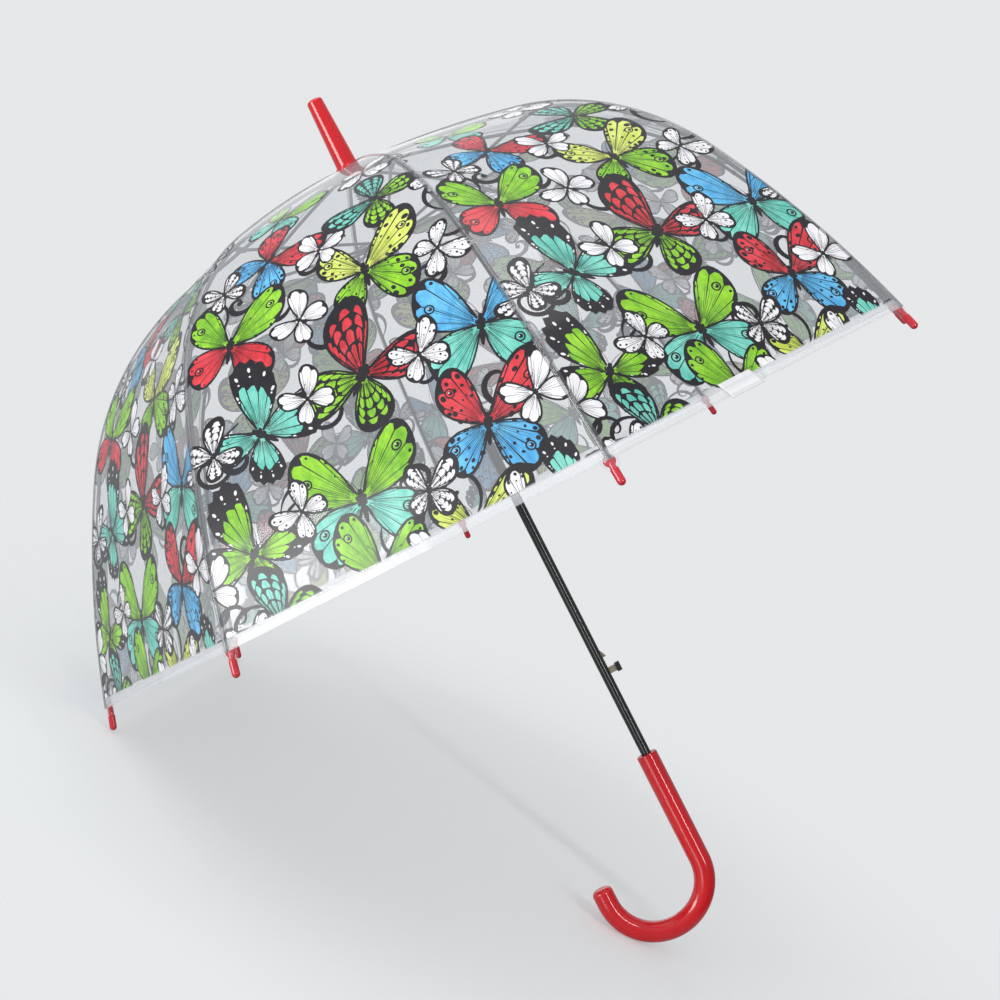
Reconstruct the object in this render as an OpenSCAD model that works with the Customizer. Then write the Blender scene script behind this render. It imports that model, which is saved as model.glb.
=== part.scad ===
// Clear bubble umbrella, open, with an automatic runner and a hook handle.
// +Z runs up the shaft to the ferrule. The origin is on the shaft's axis, at the middle of the grip.

/* [Shaft] */
// Outer diameter of the shaft tube
shaft_d = 9; // [7:0.5:12]
// Wall of the shaft tube
shaft_wall = 0.7; // [0.5:0.1:1]
// Length of shaft inside the handle
shaft_seat = 60; // [40:1:90]
// Height of the canopy's crown above the origin
crown_z = 646; // [560:1:780]

/* [Canopy] */
// Slope of the crown next to the shaft, in degrees
crown_slope = 8; // [6:0.5:10]
// Radius of the crown's curve
crown_radius = 1180; // [980:10:1420]
// Slope where the crown meets the shoulder, in degrees
shoulder_start = 17; // [14:1:20]
// Radius of the shoulder's curve
shoulder_radius = 250; // [205:5:300]
// Slope where the shoulder meets the skirt, in degrees
shoulder_end = 60; // [50:1:64]
// Radius of the skirt's curve
skirt_radius = 900; // [750:10:1080]
// Slope of the film at the hem, in degrees
hem_slope = 72.5; // [68:0.5:78]
// Turn of the first rib from the +X axis, in degrees
rib_turn = 9.5; // [0:0.5:22]
// Thickness of the film
film_t = 0.3; // [0.2:0.05:0.5]
// Height of the film's middle above the rib's axis
film_lift = 3.6; // [3.2:0.1:4.5]

/* [Ribs] */
// Diameter of the rib rod
rib_d = 3.2; // [2.6:0.1:3.4]
// Radius of the notch wire's circle, which the ribs turn on
notch_wire_r = 13; // [12.5:0.5:15]
// Radius of the stretcher joint on the rib
joint_r = 190; // [160:1:230]
// Distance from the rib's axis to the stretcher's pin
joint_drop = 4; // [3.9:0.1:5]
// Thickness of the rib's eye and lug
eye_t = 1.8; // [1.4:0.1:2]
// Diameter of the notch and runner wires
wire_d = 1; // [0.8:0.1:1.2]

/* [Stretchers] */
// Diameter of the stretcher's rod
stretcher_d = 2.8; // [2.4:0.1:3]
// Diameter of the rivet through rib and stretcher
rivet_d = 1.6; // [1.4:0.1:2]
// Thickness of the fork's ears and of the hook end
ear_t = 1; // [0.8:0.1:1.2]
// Height of the stretchers' inner ends below the crown
hub_drop = 74; // [60:1:95]
// Radius of the runner wire's circle, which the stretchers hook on
hub_wire_r = 12; // [11.5:0.5:14]

/* [Runner] */
// Outer diameter of the runner tube
runner_d = 13; // [12.6:0.2:14]
// Length of the runner tube below the stretchers
runner_len = 108; // [80:1:130]
// Diameter of the runner's head
hub_d = 32; // [29:1:36]
// Height of the runner's head
hub_h = 8; // [7:0.5:12]
// Mean diameter of the opening spring
spring_d = 11.2; // [11:0.1:11.6]
// Diameter of the spring's wire
spring_wire = 1; // [0.8:0.1:1.1]

/* [Notch] */
// Diameter of the top notch
notch_d = 31; // [29:1:36]
// Height of the notch below the ribs' wire
notch_below = 5; // [4:0.5:8]

/* [Ferrule] */
// Length of the ferrule above its washer
ferrule_len = 69; // [50:1:90]
// Diameter of the ferrule at its tip
ferrule_tip_d = 15; // [13:0.5:17]
// Diameter of the ferrule above its flange
ferrule_base_d = 19.8; // [18:0.2:22]
// Diameter of the ferrule's flange
flange_d = 23.4; // [22:0.2:28]
// Height of the ferrule's flange
flange_h = 3; // [2:0.5:5]
// Rounding of the ferrule's tip
ferrule_round = 2.5; // [1.5:0.5:3.5]
// Length of shaft inside the ferrule
ferrule_seat = 28; // [18:1:36]

/* [Handle] */
// Diameter of the handle
handle_d = 19.3; // [16:0.1:24]
// Height of the handle's mouth above the origin
handle_top = 55; // [40:1:90]
// Depth of the hook's centre below the origin
hook_drop = 50; // [30:1:80]
// Radius of the hook's centre line
hook_r = 46; // [36:1:58]
// Length of the straight end of the hook
hook_end = 10; // [4:1:30]

/* [Release lever] */
// Height of the lever's pin above the origin
lever_z = 100; // [90:1:110]
// Height of the thumb lever above the pin
thumb_rise = 37; // [32:1:40]
// Height of the catch's shoulder above the pin
catch_rise = 50; // [47:1:56]
// How far the thumb cap stands out from the shaft's surface
thumb_reach = 11; // [8:0.5:14]
// How far the catch stands out from the shaft's surface
catch_reach = 3; // [2:0.5:3.5]
// Thickness of the lever's sheet
lever_t = 1.2; // [1:0.1:1.4]

/* [Tips] */
// Diameter of the tip's round head
tip_head_d = 9.2; // [8:0.2:10]
// Diameter of the tip's stem
tip_d = 6.2; // [5.6:0.2:7]
// Length of the tip beyond the hem
tip_len = 19.6; // [14:0.2:26]

/* [Hidden] */

rib_count = 8;
step_angle = 360 / rib_count;
run_gap = 0.05;      // clearance of a turning or sliding fit, on the radius
side_gap = 0.3;      // clearance beside a moving plate
seam_gap = 0.15;     // clearance of a film edge from the plane between two pieces
shaft_r = shaft_d / 2;
bore_r = shaft_r - shaft_wall;
$fn = 64;

// The canopy's meridian is three tangent arcs. A point at slope a lies at centre + radius * (sin a, cos a).
crown_c = [-crown_radius * sin(crown_slope), crown_z - crown_radius * cos(crown_slope)];
shoulder_c = crown_c + (crown_radius - shoulder_radius) * [sin(shoulder_start), cos(shoulder_start)];
skirt_c = shoulder_c + (shoulder_radius - skirt_radius) * [sin(shoulder_end), cos(shoulder_end)];

function arc_c(a) = a < shoulder_start ? crown_c : a < shoulder_end ? shoulder_c : skirt_c;
function arc_r(a) = a < shoulder_start ? crown_radius : a < shoulder_end ? shoulder_radius : skirt_radius;
function meridian(a, inset) = arc_c(a) + (arc_r(a) - inset) * [sin(a), cos(a)];

// Slope at which a curve at the given inset from the film's middle reaches the given radius.
function slope_at(r, inset) =
    let (crown_try = asin((r - crown_c[0]) / (crown_radius - inset)))
    crown_try < shoulder_start ? crown_try : asin((r - shoulder_c[0]) / (shoulder_radius - inset));

// The linkage, as points of radius and height in a rib's own plane.
pivot_a = slope_at(notch_wire_r, film_lift);
pivot = meridian(pivot_a, film_lift);
joint_a = slope_at(joint_r, film_lift);
joint = meridian(joint_a, film_lift + joint_drop);
hub_z = crown_z - hub_drop;
hub_pivot = [hub_wire_r, hub_z];
arm = hub_pivot - joint;
arm_len = norm(arm);
arm_turn = atan2(arm[1], arm[0]);
rib_end = meridian(hem_slope, film_lift);

// Collars and stacks on the shaft.
notch_r = notch_d / 2;
eye_r = wire_d / 2 + 1.7;
notch_top = pivot[1] + eye_r + 0.8;
notch_bottom = pivot[1] - notch_below;
slot_floor = 9.3;
crown_bottom = notch_top;
washer_z = crown_bottom + film_t;
washer_t = 0.8;
tail_len = 9;        // straight end of the rib inside its tip
tail_r = rib_d / 2 + 0.15;
band_t = 0.3;        // the crimped bands on a rib: their thickness, length, and half the gap they cover
band_len = 4;
band_slack = 0.02;
tip_gap = 0.12;      // clearance of the tip's bore, on the radius
lug_r = 2.1;         // round end of the rib's lug and of the fork's ears
ferrule_z = washer_z + washer_t;
film_crown_r = notch_r + 0.8;
gore_start = (film_crown_r + side_gap) / cos(step_angle / 2);
neck_reach = notch_below + 3;    // from the notch wire to the rod, so that the rod clears the notch when folded
hub_r = hub_d / 2;
runner_top = hub_z + hub_h / 2 + 2;
runner_bottom = hub_z - runner_len;
stop_r = 1;
stop_z = runner_top + stop_r + run_gap;
shaft_bottom = handle_top - shaft_seat;
shaft_top = ferrule_z + ferrule_seat;

// The release lever: a flat blade in the shaft, with its catch and thumb lever through slots.
lever_pin_r = 0.8;
lever_pin_x = 1.2;
blade_in = 1.2;
blade_out = bore_r - 0.5;
slot_w = lever_t + 2 * side_gap;
thumb_h = 6;
thumb_z = lever_z + thumb_rise;
catch_z = lever_z + catch_rise;
catch_h = 7.5;
slot_travel = 1.2;   // room above and below what comes through a slot
cap_depth = 4.5;
cap_h = thumb_h + 2.4;
cap_w = 5;
cap_x = shaft_r + thumb_reach - cap_depth;

// The film's straight width across a half gore, at a given radius, and the tab welded to one hem.
half_angle = step_angle / 2;
tab_rib = 7;
tab_share = 0.87;    // middle of the tab, as a share of the half gore's hem
tab_len = 34;
tab_rise = 11;       // height of the tab, along the film
tab_t = 0.5;

// Turns its children into the plane of rib k, where +X is outward.
module at_rib(k) {
    rotate([0, 0, rib_turn + (k - 1) * step_angle]) children();
}

// A plate in a rib's plane, from a flat outline of radius and height.
module plate(thickness) {
    rotate([90, 0, 0]) translate([0, 0, -thickness / 2]) linear_extrude(height = thickness) children();
}

// A round pin across a rib's plane.
module cross_pin(r, length) {
    rotate([90, 0, 0]) cylinder(r = r, h = length, center = true);
}

// A round rod bent round one arc of the rib's curve, between two slopes.
module rod_arc(a_from, a_to) {
    middle = (a_from + a_to) / 2;
    centre = arc_c(middle);
    translate([centre[0], 0, centre[1]])
        rotate([90, 0, 0])
            rotate([0, 0, 90 - a_to + band_slack])
                rotate_extrude(angle = a_to - a_from - 2 * band_slack, $fn = 720)
                    translate([arc_r(middle) - film_lift, 0])
                        circle(r = rib_d / 2, $fn = 32);
}

// A crimped band over the joint of two arcs, where the film is tied to the rib.
module rod_band(a) {
    middle = meridian(a, film_lift);
    translate([middle[0], 0, middle[1]])
        rotate([0, 90 + a, 0]) cylinder(r = rib_d / 2 + band_t, h = band_len, center = true);
}

module collar(r_out, r_in, z_from, z_to) {
    difference() {
        translate([0, 0, z_from]) cylinder(r = r_out, h = z_to - z_from);
        translate([0, 0, z_from - 1]) cylinder(r = r_in, h = z_to - z_from + 2);
    }
}

module wire_ring(ring_r, wire_r, z) {
    translate([0, 0, z]) rotate_extrude($fn = 96) translate([ring_r, 0]) circle(r = wire_r, $fn = 24);
}

// Radial slots for the ribs or stretchers, from the slot floor out.
module rib_slots(width, z_from, z_to) {
    for (k = [1 : rib_count])
        at_rib(k) translate([slot_floor, -width / 2, z_from]) cube([40, width, z_to - z_from]);
}

module shaft() {
    color("#17171a")
        difference() {
            translate([0, 0, shaft_bottom]) cylinder(r = shaft_r, h = shaft_top - shaft_bottom);
            translate([0, 0, shaft_bottom - 1]) cylinder(r = bore_r, h = shaft_top - shaft_bottom + 2);
            translate([0, -slot_w / 2, thumb_z - thumb_h / 2 - slot_travel])
                cube([2 * shaft_r, slot_w, thumb_h + 2 * slot_travel]);
            translate([0, -slot_w / 2, catch_z - slot_travel])
                cube([2 * shaft_r, slot_w, catch_h + 2 * slot_travel]);
            translate([lever_pin_x, 0, lever_z]) cross_pin(lever_pin_r, 3 * shaft_r);
            translate([0, 0, stop_z]) cross_pin(stop_r, 3 * shaft_r);
        }
}

module handle() {
    color("#cc1a24")
        difference() {
            union() {
                translate([0, 0, -hook_drop]) cylinder(r = handle_d / 2 - 0.8, h = hook_drop + handle_top);
                translate([0, 0, -hook_drop]) cylinder(r = handle_d / 2, h = hook_drop + handle_top - 0.8);
                translate([-hook_r, 0, -hook_drop])
                    rotate([90, 0, 0])
                        rotate([0, 0, 180])
                            rotate_extrude(angle = 180, $fn = 180)
                                translate([hook_r, 0]) circle(r = handle_d / 2);
                translate([-2 * hook_r, 0, -hook_drop]) cylinder(r = handle_d / 2, h = hook_end);
                translate([-2 * hook_r, 0, -hook_drop + hook_end]) handle_cap();
            }
            translate([0, 0, shaft_bottom]) cylinder(r = shaft_r, h = shaft_seat + 1);
            translate([0, 0, handle_top - 3]) cylinder(r = shaft_r + 0.6, h = 4);
        }
}

// The rounded end of the hook: a flat disc inside a quarter-round rim.
module handle_cap() {
    round_r = 5;
    rotate_extrude()
        intersection() {
            union() {
                square([handle_d / 2 - round_r, round_r]);
                translate([handle_d / 2 - round_r, 0]) circle(r = round_r);
            }
            square([handle_d, round_r]);
        }
}

// The lever's outline in the plane through the shaft, as points of X and height.
module lever_outline() {
    catch_out = shaft_r + catch_reach;
    difference() {
        union() {
            polygon([
                [blade_in, lever_z], [blade_out, lever_z], [blade_out, catch_z], [catch_out, catch_z],
                [catch_out, catch_z + 1], [blade_out + 1, catch_z + catch_h], [blade_in, catch_z + catch_h]
            ]);
            translate([lever_pin_x + 0.2, lever_z]) circle(r = 1.9);
            translate([blade_out - 0.5, thumb_z - thumb_h / 2])
                square([cap_x + cap_depth / 2 - blade_out + 0.5, thumb_h]);
        }
        translate([lever_pin_x, lever_z]) circle(r = lever_pin_r + run_gap);
    }
}

module release_lever() {
    color("#b7b09c") plate(lever_t) lever_outline();
}

module lever_pin() {
    color("#8f9094") translate([lever_pin_x, 0, lever_z]) cross_pin(lever_pin_r, 2 * shaft_r - 0.6);
}

module button_cap() {
    color("#131315")
        difference() {
            translate([cap_x, -cap_w / 2, thumb_z - cap_h / 2]) cube([cap_depth, cap_w, cap_h]);
            translate([cap_x - 1, -lever_t / 2, thumb_z - thumb_h / 2])
                cube([cap_depth / 2 + 1, lever_t, thumb_h]);
        }
}

module runner_tube() {
    color("#1a1a1d") collar(runner_d / 2, shaft_r + run_gap + 0.03, runner_bottom, runner_top);
}

module runner_hub() {
    color("#1a1a1d")
        difference() {
            collar(hub_r, runner_d / 2, hub_z - hub_h / 2, hub_z + hub_h / 2);
            rib_slots(2 * ear_t + 0.2 + 2 * side_gap, hub_z - hub_h, hub_z + hub_h);
            wire_ring(hub_wire_r, wire_d / 2, hub_z);
        }
}

module runner_wire() {
    color("#8f9094") wire_ring(hub_wire_r, wire_d / 2, hub_z);
}

module runner_stop() {
    color("#8f9094") translate([0, 0, stop_z]) cross_pin(stop_r, spring_d - spring_wire - 0.4);
}

// The spring's plain sleeve: its outer and inner diameters and its length in the open umbrella.
module opening_spring() {
    color("#9a9ca0")
        collar((spring_d + spring_wire) / 2, (spring_d - spring_wire) / 2, runner_top, notch_bottom);
}

module top_notch() {
    color("#1a1a1d")
        difference() {
            collar(notch_r, shaft_r, notch_bottom, notch_top);
            rib_slots(eye_t + 2 * side_gap, notch_bottom - 1, pivot[1] + eye_r + side_gap);
            wire_ring(notch_wire_r, wire_d / 2, pivot[1]);
        }
}

module notch_wire() {
    color("#8f9094") wire_ring(notch_wire_r, wire_d / 2, pivot[1]);
}

module film_crown() {
    color([0.93, 0.95, 0.96, 0.4]) collar(film_crown_r, shaft_r + 0.1, crown_bottom, washer_z);
}

module film_washer() {
    color("#202022") collar(flange_d / 2 - 1, shaft_r + 0.1, washer_z, ferrule_z);
}

// The ferrule's outline as points of radius and height, with a quarter-round tip.
module ferrule() {
    tip_r = ferrule_tip_d / 2;
    color("#cc1a24")
        difference() {
            translate([0, 0, ferrule_z])
                union() {
                    cylinder(r1 = flange_d / 2, r2 = flange_d / 2 - 0.6, h = flange_h);
                    cylinder(r1 = ferrule_base_d / 2, r2 = tip_r, h = ferrule_len - ferrule_round);
                    translate([0, 0, ferrule_len - ferrule_round])
                        rotate_extrude()
                            intersection() {
                                union() {
                                    square([tip_r - ferrule_round, ferrule_round]);
                                    translate([tip_r - ferrule_round, 0]) circle(r = ferrule_round);
                                }
                                square([tip_r, ferrule_round]);
                            }
                }
            translate([0, 0, ferrule_z - 1]) cylinder(r = shaft_r, h = ferrule_seat + 1);
        }
}

// Puts its children at the end of a rib's bend, with +Z along the rib and outward.
module at_rib_end() {
    translate([rib_end[0], 0, rib_end[1]]) rotate([0, 90 + hem_slope, 0]) children();
}

// A rib in its own plane: the eye on the notch wire, the bent rod with its bands and the stretcher's lug.
module rib() {
    rod_start = slope_at(notch_wire_r + neck_reach, film_lift);
    neck = meridian(rod_start, film_lift);
    neck_len = norm(neck - pivot) + 2;
    color("#151517")
        difference() {
            union() {
                translate([pivot[0], 0, pivot[1]]) {
                    cross_pin(eye_r, eye_t);
                    rotate([0, pivot_a, 0]) translate([0, -eye_t / 2, -1.2]) cube([neck_len, eye_t, 2.4]);
                }
                rod_arc(rod_start, shoulder_start);
                rod_arc(shoulder_start, shoulder_end);
                rod_arc(shoulder_end, hem_slope);
                rod_band(rod_start);
                rod_band(shoulder_start);
                rod_band(shoulder_end);
                at_rib_end() translate([0, 0, -3]) cylinder(r = tail_r, h = tail_len + 3);
                translate([joint[0], 0, joint[1]]) {
                    cross_pin(lug_r, eye_t);
                    rotate([0, joint_a, 0])
                        translate([-lug_r, -eye_t / 2, 0]) cube([2 * lug_r, eye_t, joint_drop]);
                }
            }
            translate([pivot[0], 0, pivot[1]]) cross_pin(wire_d / 2 + run_gap, 3 * eye_t);
            translate([joint[0], 0, joint[1]]) cross_pin(rivet_d / 2 + run_gap, 3 * eye_t);
        }
}

// A rib tip: a flat round head with a neck, and a round-ended stem, bored for the rib's end.
module tip() {
    head_r = tip_head_d / 2;
    stem_r = tip_d / 2;
    neck_r = stem_r - 0.6;
    stem_start = head_r + 2;
    color("#c81a26")
        at_rib_end()
            difference() {
                union() {
                    rotate([0, 90, 0])
                        rotate_extrude()
                            polygon([
                                [0, -2.4], [head_r - 1.8, -2.1], [head_r - 0.5, -1.3], [head_r, -0.5],
                                [head_r, 0.5], [head_r - 0.5, 1.3], [head_r - 1.8, 2.1], [0, 2.4]
                            ]);
                    cylinder(r = neck_r, h = stem_start + 1);
                    translate([0, 0, stem_start]) cylinder(r = stem_r, h = tip_len - stem_start - stem_r);
                    translate([0, 0, tip_len - stem_r]) sphere(r = stem_r);
                }
                translate([0, 0, -2 * head_r]) cylinder(r = tail_r + tip_gap, h = 2 * head_r + tail_len);
                translate([-stem_r, 0, stem_start - 0.2]) rotate([90, 0, 0]) cylinder(r = 0.9, h = tip_d, center = true);
            }
}

// A stretcher in its rib's plane: the fork and its rivet, the rod, and the open hook for the runner's wire.
module stretcher() {
    fork_in = eye_t / 2 + side_gap;
    fork_out = fork_in + ear_t;
    fork_len = 8.5;
    hook_len = 9;
    color("#1b1b1e")
        translate([joint[0], 0, joint[1]])
            rotate([0, -arm_turn, 0])
                union() {
                    for (side = [-1, 1])
                        translate([0, side * (fork_in + fork_out) / 2, 0])
                            plate(ear_t) {
                                circle(r = lug_r);
                                translate([0, -1.6]) square([fork_len, 3.2]);
                            }
                    translate([fork_len - 3, -fork_out, -1.6]) cube([3, 2 * fork_out, 3.2]);
                    cross_pin(rivet_d / 2, 2 * fork_out + 1);
                    for (side = [-1, 1])
                        translate([0, side * (fork_out + 0.3), 0]) cross_pin(rivet_d / 2 + 0.6, 0.6);
                    translate([fork_len - 1, 0, 0])
                        rotate([0, 90, 0]) cylinder(r = stretcher_d / 2, h = arm_len - hook_len - fork_len + 2);
                    plate(2 * ear_t) stretcher_hook(hook_len);
                }
}

// The hook's outline: half an eye under the wire, open above it, on a neck from the rod.
module stretcher_hook(hook_len) {
    hook_eye_r = 1.6;    // small enough to pass the runner tube while the umbrella folds
    translate([arm_len, 0])
        difference() {
            union() {
                circle(r = hook_eye_r);
                translate([-hook_len, -1.2]) square([hook_len - 3, 2.4]);
                translate([-hook_len, 0]) square([hook_len, hook_eye_r]);
            }
            circle(r = wire_d / 2 + run_gap);
            translate([-3, -3]) square([3, 3.45]);
            translate([-1, -3]) square([5, 2.6]);
        }
}

// A patch of a half gore: between two slopes, and between two distances along the film from the rib's
// plane and from the gore's middle plane, as a sheet from one depth below the film's middle to another.
function patch_row(a, from_rib, from_middle, depth) =
    let (
        radius = meridian(a, 0)[0],
        height = meridian(a, 0)[1],
        across = norm([sin(a), cos(a) * cos(half_angle)]),
        inward = -sin(a) / across * depth,
        down = -cos(a) * cos(half_angle) / across * depth,
        width = radius * sin(half_angle)
    )
    [for (v = [from_rib, width - from_middle])
        [radius - v * sin(half_angle) + inward * cos(half_angle),
         v * cos(half_angle) + inward * sin(half_angle),
         height + down]];

module film_patch(slopes, from_rib, from_middle, depth_out, depth_in) {
    rows = len(slopes);
    points = [for (a = slopes)
        each concat(patch_row(a, from_rib, from_middle, depth_out), patch_row(a, from_rib, from_middle, depth_in))];
    sides = [for (i = [0 : rows - 2])
        let (p = 4 * i, q = 4 * i + 4)
        each [[p, p + 1, q + 1, q], [p + 2, q + 2, q + 3, p + 3], [p, q, q + 2, p + 2], [p + 1, p + 3, q + 3, q + 1]]];
    last = 4 * rows - 4;
    ends = [[0, 2, 3, 1], [last, last + 1, last + 3, last + 2]];
    polyhedron(points = points, faces = concat(sides, ends));
}

film_slopes = concat(
    [for (i = [0 : 5]) let (a = slope_at(gore_start, 0)) a + (shoulder_start - a) * i / 6],
    [for (i = [0 : 11]) shoulder_start + (shoulder_end - shoulder_start) * i / 12],
    [for (i = [0 : 6]) shoulder_end + (hem_slope - shoulder_end) * i / 6]
);

// The half gore that leaves a rib anticlockwise; its other half is its mirror image.
module half_gore(mirrored) {
    color([0.93, 0.95, 0.96, 0.4])
        mirror([0, mirrored ? 1 : 0, 0])
            film_patch(film_slopes, seam_gap, seam_gap, -film_t / 2, film_t / 2);
}

module strap_tab() {
    hem_width = meridian(hem_slope, 0)[0] * sin(half_angle);
    tab_slope = hem_slope - tab_rise / skirt_radius * 180 / PI;
    middle = tab_share * hem_width;
    color([0.95, 0.96, 0.97, 0.6])
        at_rib(tab_rib)
            film_patch([tab_slope, hem_slope], middle - tab_len / 2, hem_width - middle - tab_len / 2,
                -film_t / 2 - tab_t, -film_t / 2);
}

shaft();
handle();
release_lever();
lever_pin();
button_cap();
runner_tube();
runner_hub();
runner_wire();
runner_stop();
opening_spring();
top_notch();
notch_wire();
film_crown();
film_washer();
ferrule();
strap_tab();
for (k = [1 : rib_count]) {
    at_rib(k) rib();
    at_rib(k) tip();
    at_rib(k) stretcher();
    at_rib(k) half_gore(false);
    at_rib(k) half_gore(true);
}
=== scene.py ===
"""Looks of the clear bubble umbrella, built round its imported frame. Metres, with +Z up the shaft."""
import math
import random

import bpy
import numpy as np
from mathutils import Matrix, Vector
from mathutils.geometry import delaunay_2d_cdt


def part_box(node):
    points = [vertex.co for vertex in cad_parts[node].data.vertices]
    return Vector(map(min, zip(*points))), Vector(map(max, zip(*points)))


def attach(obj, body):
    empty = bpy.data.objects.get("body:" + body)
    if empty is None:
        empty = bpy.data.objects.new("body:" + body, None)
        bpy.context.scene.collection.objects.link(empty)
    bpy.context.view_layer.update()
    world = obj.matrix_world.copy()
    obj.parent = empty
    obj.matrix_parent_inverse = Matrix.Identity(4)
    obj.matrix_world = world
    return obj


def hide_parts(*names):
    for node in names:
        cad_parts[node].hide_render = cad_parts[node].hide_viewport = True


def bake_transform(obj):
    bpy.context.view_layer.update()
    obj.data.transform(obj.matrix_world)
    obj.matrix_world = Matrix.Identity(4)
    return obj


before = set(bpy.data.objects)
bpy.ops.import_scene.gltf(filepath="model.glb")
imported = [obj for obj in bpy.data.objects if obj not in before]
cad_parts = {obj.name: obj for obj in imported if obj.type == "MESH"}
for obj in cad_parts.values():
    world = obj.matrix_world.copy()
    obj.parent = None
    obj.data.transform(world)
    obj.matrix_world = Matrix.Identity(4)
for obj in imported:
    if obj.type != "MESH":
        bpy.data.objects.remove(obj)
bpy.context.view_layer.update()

MM = 0.001
RIBS = 8
STEP = 2 * math.pi / RIBS
HALF = STEP / 2
RIB_TURN = math.radians(9.5)

# The dome of film, as three tangent arcs from the crown to the hem: the slopes where they meet, then radii.
CROWN_SLOPE, SHOULDER_SLOPE, SKIRT_SLOPE, HEM_SLOPE = (math.radians(a) for a in (8, 17, 60, 72.5))
CROWN_RADIUS, SHOULDER_RADIUS, SKIRT_RADIUS = 1180 * MM, 250 * MM, 900 * MM
DOME = {
    "Crown height": 646 * MM,
    "Crown slope": CROWN_SLOPE,
    "Crown radius": CROWN_RADIUS,
    "Crown length": CROWN_RADIUS * (SHOULDER_SLOPE - CROWN_SLOPE),
    "Shoulder radius": SHOULDER_RADIUS,
    "Shoulder length": SHOULDER_RADIUS * (SKIRT_SLOPE - SHOULDER_SLOPE),
    "Skirt radius": SKIRT_RADIUS,
}
SKIRT_LENGTH = SKIRT_RADIUS * (HEM_SLOPE - SKIRT_SLOPE)
FILM_LENGTH = DOME["Crown length"] + DOME["Shoulder length"] + SKIRT_LENGTH
FILM_START = 18.2 * MM
FILM_ROWS = 72
FILM_COLUMNS = 16
PRINT_RISE = 0.22 * MM
WELD_ROW = 6.3 * MM            # the row of weld marks, up from the film's edge
WELD_RISE = 0.44 * MM          # and out from the film's middle surface
PRINT_START = 168.0            # the artwork's first and last lengths down the gore, in millimetres
PRINT_END = 561.0


# ---------------------------------------------------------------- node trees

class Value:
    """A number socket that takes part in sums."""

    def __init__(self, maker, socket):
        self.maker = maker
        self.socket = socket

    def __add__(self, other):
        return self.maker.maths("ADD", self, other)

    def __sub__(self, other):
        return self.maker.maths("SUBTRACT", self, other)

    def __rsub__(self, other):
        return self.maker.maths("SUBTRACT", other, self)

    def __mul__(self, other):
        return self.maker.maths("MULTIPLY", self, other)

    def __truediv__(self, other):
        return self.maker.maths("DIVIDE", self, other)

    def __rtruediv__(self, other):
        return self.maker.maths("DIVIDE", other, self)

    def __pow__(self, other):
        return self.maker.maths("POWER", self, other)

    __radd__ = __add__
    __rmul__ = __mul__


class Maker:
    """Adds nodes to one tree."""

    def __init__(self, tree):
        self.tree = tree

    def node(self, kind, settings=None, sockets=None, out=0):
        """One node: its settings are set first, then its sockets, by name or number."""
        made = self.tree.nodes.new(kind)
        for name, value in (settings or {}).items():
            if name == "stops":
                self.stops(made.color_ramp, value)
            else:
                setattr(made, name, value)
        for name, value in (sockets or {}).items():
            if isinstance(value, Value):
                self.tree.links.new(value.socket, made.inputs[name])
            else:
                made.inputs[name].default_value = value
        return Value(self, made.outputs[out]) if len(made.outputs) else made

    def stops(self, ramp, stops):
        while len(ramp.elements) < len(stops):
            ramp.elements.new(0.5)
        for element, (place, colour) in zip(ramp.elements, stops):
            element.position = place
            element.color = colour

    def maths(self, operation, *values):
        return self.node("ShaderNodeMath", {"operation": operation}, dict(enumerate(values)))

    def sin(self, value):
        return self.maths("SINE", value)

    def cos(self, value):
        return self.maths("COSINE", value)

    def least(self, one, other):
        return self.maths("MINIMUM", one, other)

    def most(self, one, other):
        return self.maths("MAXIMUM", one, other)


class Numbers:
    """The same few functions as Maker's, on plain numbers."""

    sin = staticmethod(math.sin)
    cos = staticmethod(math.cos)
    least = staticmethod(min)
    most = staticmethod(max)


def dome_point(length, size, kit):
    """Radius, height and slope of the film at a length from the crown, on numbers or on sockets."""
    start = size["Crown slope"]
    past_crown = kit.most(length - size["Crown length"], 0.0)
    first = start + kit.least(length, size["Crown length"]) / size["Crown radius"]
    second = first + kit.least(past_crown, size["Shoulder length"]) / size["Shoulder radius"]
    third = second + kit.most(past_crown - size["Shoulder length"], 0.0) / size["Skirt radius"]
    arcs = (
        (start, first, "Crown radius"), (first, second, "Shoulder radius"), (second, third, "Skirt radius"),
    )
    radius = 0.0
    height = size["Crown height"]
    for low, high, name in arcs:
        radius = radius + (kit.sin(high) - kit.sin(low)) * size[name]
        height = height + (kit.cos(high) - kit.cos(low)) * size[name]
    return radius, height, third


def geometry_tree(name, inputs):
    """A geometry tree with named inputs: its maker, the sockets by name, and a function that ends it."""
    tree = bpy.data.node_groups.new(name, "GeometryNodeTree")
    for title, kind in inputs.items():
        tree.interface.new_socket(title, in_out="INPUT", socket_type=kind)
    tree.interface.new_socket("Material", in_out="INPUT", socket_type="NodeSocketMaterial")
    tree.interface.new_socket("Mesh", in_out="OUTPUT", socket_type="NodeSocketGeometry")
    maker = Maker(tree)
    group_in = tree.nodes.new("NodeGroupInput")
    sockets = {title: Value(maker, group_in.outputs[title]) for title in [*inputs, "Material"]}

    def end(mesh):
        mesh = maker.node("GeometryNodeRealizeInstances", {}, {"Geometry": mesh})
        mesh = maker.node("GeometryNodeSetMaterial", {}, {"Geometry": mesh, "Material": sockets["Material"]})
        group_out = tree.nodes.new("NodeGroupOutput")
        tree.links.new(mesh.socket, group_out.inputs["Mesh"])
        return tree

    return maker, sockets, end


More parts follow.
